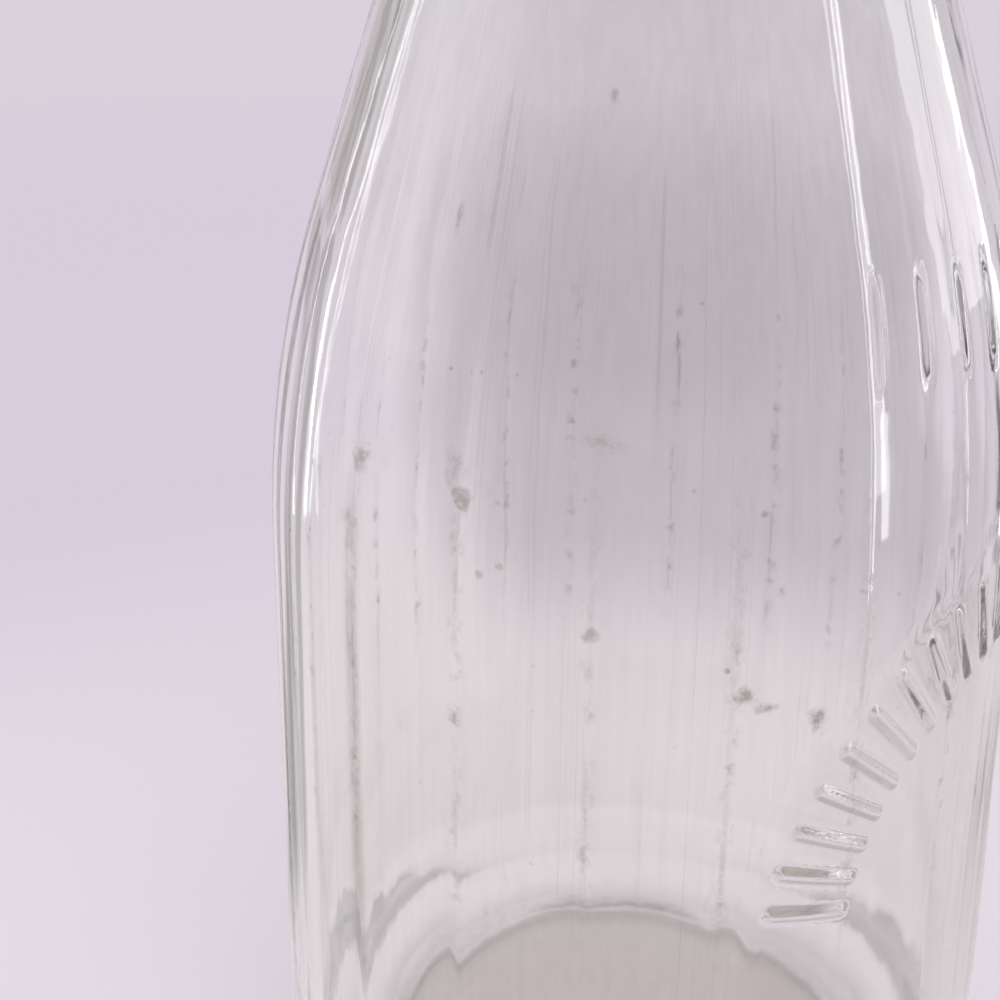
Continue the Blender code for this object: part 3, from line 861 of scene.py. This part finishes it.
def build_world():
    """A pale backdrop, plain soft light, and a dark room over the table for the glass to mirror."""
    world = bpy.data.worlds.new("studio")
    bpy.context.scene.world = world
    world.use_nodes = True
    wires = Wires(world.node_tree)
    wires.tree.nodes.clear()
    azimuth, height = compass(wires, wires.node("TexCoord").outputs["Generated"])
    rays = wires.node("LightPath").outputs
    room = wires.mix(wires.ease(height, *DARK_ROOM_START), BACKDROP, DARK_ROOM)
    wall = wires.band(azimuth, *LEFT_WALL_SIDES)
    wall = wires.times(wall, wires.ease(height, *LEFT_WALL_START))
    room = wires.mix(wall, room, LEFT_WALL)
    pale = wires.band(azimuth, *PALE_ROOM_SIDES)
    room = wires.mix(wires.times(pale, rays["Is Transmission Ray"]), room, PALE_ROOM)
    post = wires.band(azimuth, *DARK_POST_SIDES)
    post = wires.times(post, wires.ease(height, *DARK_POST_END, 1.0, 0.0))
    room = wires.mix(post, room, DARK_POST)
    light = {"Color": SOFT_LIGHT, "Strength": SOFT_LIGHT_STRENGTH}
    light = wires.node("Background", light).outputs[0]
    backdrop = {"Color": BACKDROP, "Strength": FAR_TABLE_SHARE}
    backdrop = wires.node("Background", backdrop).outputs[0]
    mirrored = wires.node("Background", {"Color": room}).outputs[0]
    mixed = wires.mix_shader(shown_by_glass(wires, rays), light, mirrored)
    mixed = wires.mix_shader(rays["Is Camera Ray"], mixed, backdrop)
    wires.put(mixed, wires.node("OutputWorld").inputs["Surface"])


def area_lamp(name, place, target, size, power):
    """A rectangular lamp that faces its target."""
    lamp = bpy.data.lights.new(name, "AREA")
    lamp.shape = "RECTANGLE"
    lamp.size, lamp.size_y = size
    lamp.energy = power
    thing = link(name, lamp)
    thing.location = place
    thing.rotation_euler = (Vector(target) - Vector(place)).to_track_quat("-Z", "Y").to_euler()
    thing.visible_camera = False
    return thing


def around(azimuth, distance, height):
    """A place at an azimuth from straight behind the bottle, positive to the right."""
    turn = CAMERA_AZIMUTH - azimuth
    return Vector((-sin(turn) * distance, cos(turn) * distance, height))


def build_lights():
    """A soft key lamp, and upright strips that shine on the glass alone."""
    place = around(KEY_AZIMUTH, KEY_DISTANCE, KEY_HEIGHT)
    key = area_lamp("key", place, (0, 0, 0.1), (KEY_SIZE, KEY_SIZE), KEY_POWER)
    key.visible_glossy = False
    key.visible_transmission = False
    for number, (azimuth, width, lean, low, brightness) in enumerate(STRIPS):
        middle = (low + STRIP_TOP) / 2
        place = around(radians(azimuth), STRIP_DISTANCE, middle)
        size = (STRIP_DISTANCE * radians(width), STRIP_TOP - low)
        power = brightness * pi * size[0] * size[1]
        strip = area_lamp(f"strip_{number}", place, (0, 0, middle), size, power)
        strip.rotation_euler.rotate_axis("Z", radians(lean))
        strip.visible_diffuse = False
        strip.visible_transmission = azimuth < 0  # the glass's outside alone mirrors the others


def build_camera():
    """The photograph's camera."""
    data = bpy.data.cameras.new("camera")
    data.sensor_width = SENSOR_WIDTH
    data.lens = FOCAL_PIXELS / PICTURE_PIXELS * SENSOR_WIDTH
    data.clip_start = 0.005
    camera = link("camera", data)
    place = around(pi, CAMERA_DISTANCE, CAMERA_HEIGHT)
    ahead = Vector((-place.x, -place.y, 0)).normalized()
    right = ahead.cross(Vector((0, 0, 1)))
    level = ahead * cos(CAMERA_YAW) - right * sin(CAMERA_YAW)
    view_right = level.cross(Vector((0, 0, 1)))
    forward = level * cos(CAMERA_PITCH) - Vector((0, 0, sin(CAMERA_PITCH)))
    up = view_right.cross(forward)
    rolled_right = view_right * cos(CAMERA_ROLL) + up * sin(CAMERA_ROLL)
    rolled_up = rolled_right.cross(forward)
    turn = Matrix((rolled_right, rolled_up, -forward)).transposed()
    camera.matrix_world = Matrix.Translation(place) @ turn.to_4x4()
    bpy.context.scene.camera = camera


build_camera()
build_stage()
build_world()
build_lights()
build_glass([outer_glass(), inner_glass()])
build_cap()
bpy.context.scene.view_settings.view_transform = "Standard"
bpy.context.scene.cycles.max_bounces = LIGHT_BOUNCES
bpy.context.scene.cycles.glossy_bounces = LIGHT_BOUNCES
bpy.context.scene.cycles.transmission_bounces = LIGHT_BOUNCES
